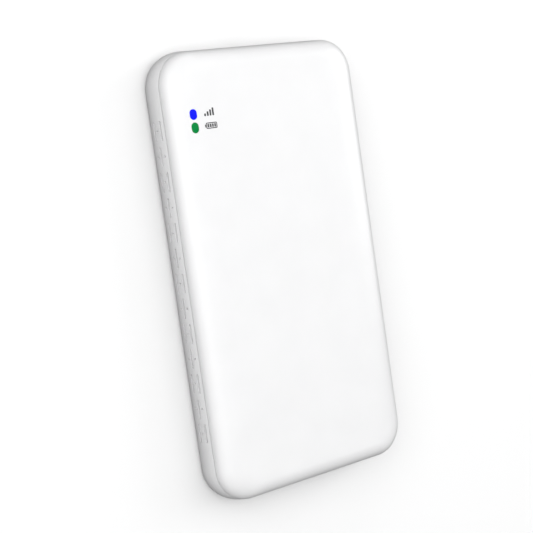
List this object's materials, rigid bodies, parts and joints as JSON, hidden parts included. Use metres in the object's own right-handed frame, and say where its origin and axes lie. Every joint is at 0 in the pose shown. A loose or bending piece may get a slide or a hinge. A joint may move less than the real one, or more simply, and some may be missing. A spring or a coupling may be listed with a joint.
{
  "type": "mobile hotspot",
  "caption": "Slim white pocket mobile hotspot: pillowed front cover, slotted side vents, lamp windows, end-wall port, press button and sliding card tray, with board and battery inside.",
  "frame": {"origin": "middle of the back face, on the surface that the hotspot lies on", "axes": "+Y along the long side towards the end wall with the ports, +Z out of the front face, +X to the right of someone who looks at the front with the port end up"},
  "size_m": [0.07, 0.126, 0.014],
  "materials": {
    "case_white": "satin gloss moulded white",
    "frame_dark": "moulded charcoal",
    "board_green": "solder mask",
    "shield_steel": "tin-plated sheet",
    "port_steel": "drawn and plated",
    "screw_steel": "zinc-plated",
    "chip_black": "moulded package",
    "antenna_copper": "bare copper",
    "cell_foil": "laminated pouch foil",
    "adhesive_tape": "paper-backed tape",
    "black_foam": "closed-cell foam",
    "label_film": "blank matt film",
    "blue_lens": "tinted clear",
    "green_lens": "tinted clear",
    "lamp_package": "clear resin",
    "red_insulation": "extruded insulation",
    "black_insulation": "extruded insulation",
    "contact_black": "moulded black",
    "card_white": "printed plastic"
  },
  "bodies": {
    "case": {"baseband_chip": "chip_black", "battery_cell": "cell_foil", "battery_lamp": "lamp_package", "battery_lead_black": "black_insulation", "battery_lead_red": "red_insulation", "battery_light_guide": "green_lens", "battery_plug": "card_white", "battery_protection_board": "board_green", "battery_socket": "contact_black", "battery_tape": "adhesive_tape", "board_screw_1": "screw_steel", "board_screw_2": "screw_steel", "cell_foam_pad": "black_foam", "charger_chip": "chip_black", "diversity_antenna": "antenna_copper", "diversity_contact": "antenna_copper", "frame_screw_1": "screw_steel", "frame_screw_2": "screw_steel", "frame_screw_3": "screw_steel", "frame_screw_4": "screw_steel", "front_cover": "case_white", "lamp_gasket": "black_foam", "main_antenna": "antenna_copper", "main_board": "board_green", "main_coax": "black_insulation", "main_coax_plug": "antenna_copper", "memory_chip": "chip_black", "mid_frame": "frame_dark", "modem_shield": "shield_steel", "power_amplifier": "chip_black", "power_switch": "chip_black", "rating_label": "label_film", "rear_shell": "case_white", "reset_switch": "chip_black", "signal_lamp": "lamp_package", "signal_light_guide": "blue_lens", "sim_socket": "shield_steel", "usb_c_shell": "port_steel", "usb_c_tongue": "contact_black", "wifi_antenna": "antenna_copper", "wifi_chip": "chip_black", "wifi_coax": "black_insulation", "wifi_coax_plug": "antenna_copper", "wifi_shield": "shield_steel"},
    "power_button": {"power_button_cap": "case_white", "power_switch_plunger": "contact_black"},
    "reset_button": {"reset_plunger": "contact_black"},
    "sim_tray": {"sim_tray": "case_white", "sim_card": "card_white"}
  },
  "joints": [
    {"name": "power_button_press", "type": "slide", "parent": "case", "child": "power_button", "axis": [0, -1, 0], "range_m": [0, 0.00035], "stiffness_N_per_m": 2000},
    {"name": "reset_button_press", "type": "slide", "parent": "case", "child": "reset_button", "axis": [0, -1, 0], "range_m": [0, 0.00025], "stiffness_N_per_m": 2000},
    {"name": "sim_tray_slide", "type": "slide", "parent": "case", "child": "sim_tray", "axis": [0, 1, 0], "range_m": [0, 0.018]}
  ]
}
